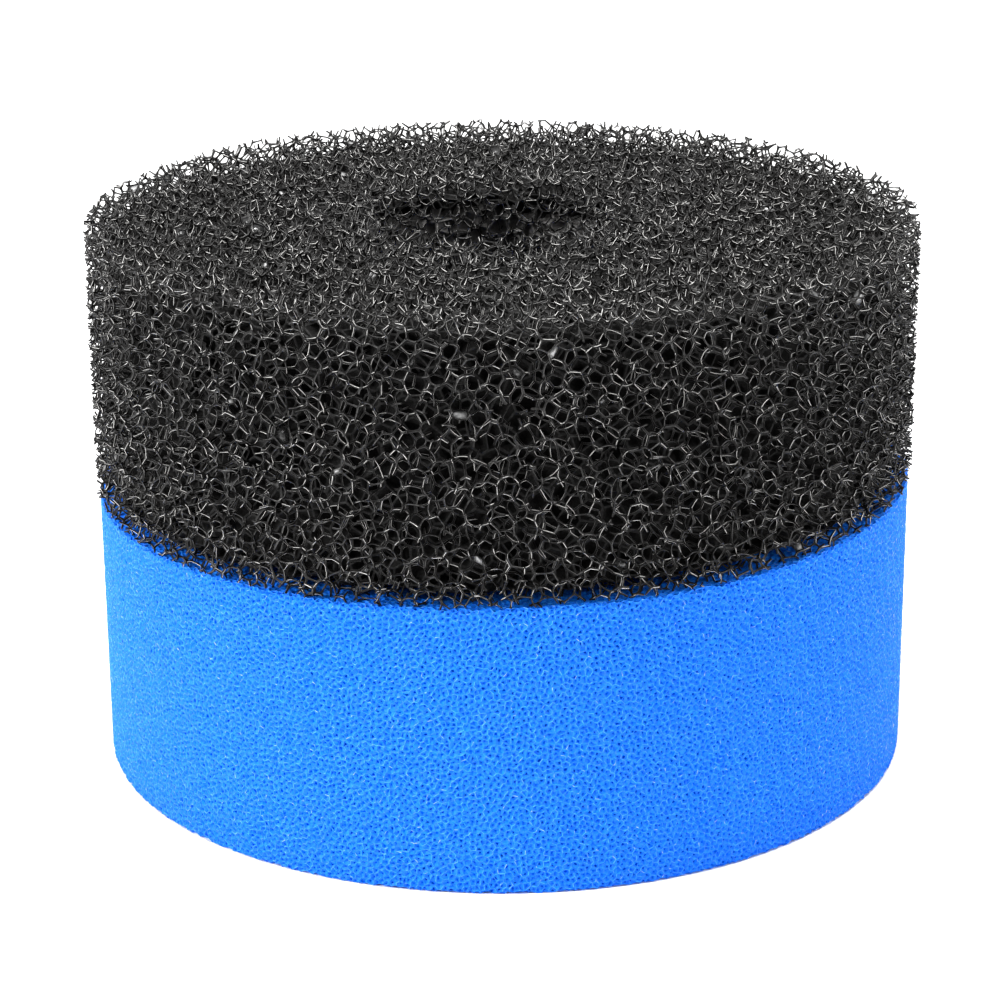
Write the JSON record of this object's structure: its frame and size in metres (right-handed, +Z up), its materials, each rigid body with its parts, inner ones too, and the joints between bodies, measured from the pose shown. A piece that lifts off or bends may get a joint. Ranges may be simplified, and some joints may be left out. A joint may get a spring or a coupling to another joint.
{
  "type": "two-stage filter sponge",
  "caption": "Round two-stage filter sponge: a coarse black foam ring resting on a fine blue foam ring, with one straight bore through both for a centre tube.",
  "frame": {"origin": "centre of the underside of the lower (fine) ring, on the axis of the bore, where the sponge rests", "axes": "+Z up along the axis of the bore, from the fine ring to the coarse ring; the rings are round, so X and Y are free, and the picture is taken looking along +Y"},
  "size_m": [0.201, 0.201, 0.135],
  "materials": {
    "fine_foam": "matte",
    "coarse_foam": "satin"
  },
  "bodies": {
    "fine": {"fine_ring": "fine_foam"},
    "coarse": {"coarse_ring": "coarse_foam"}
  },
  "joints": [
    {"name": "coarse_lift", "type": "slide", "parent": "fine", "child": "coarse", "axis": [0, 0, 1], "range_m": [0, 0.08]}
  ]
}
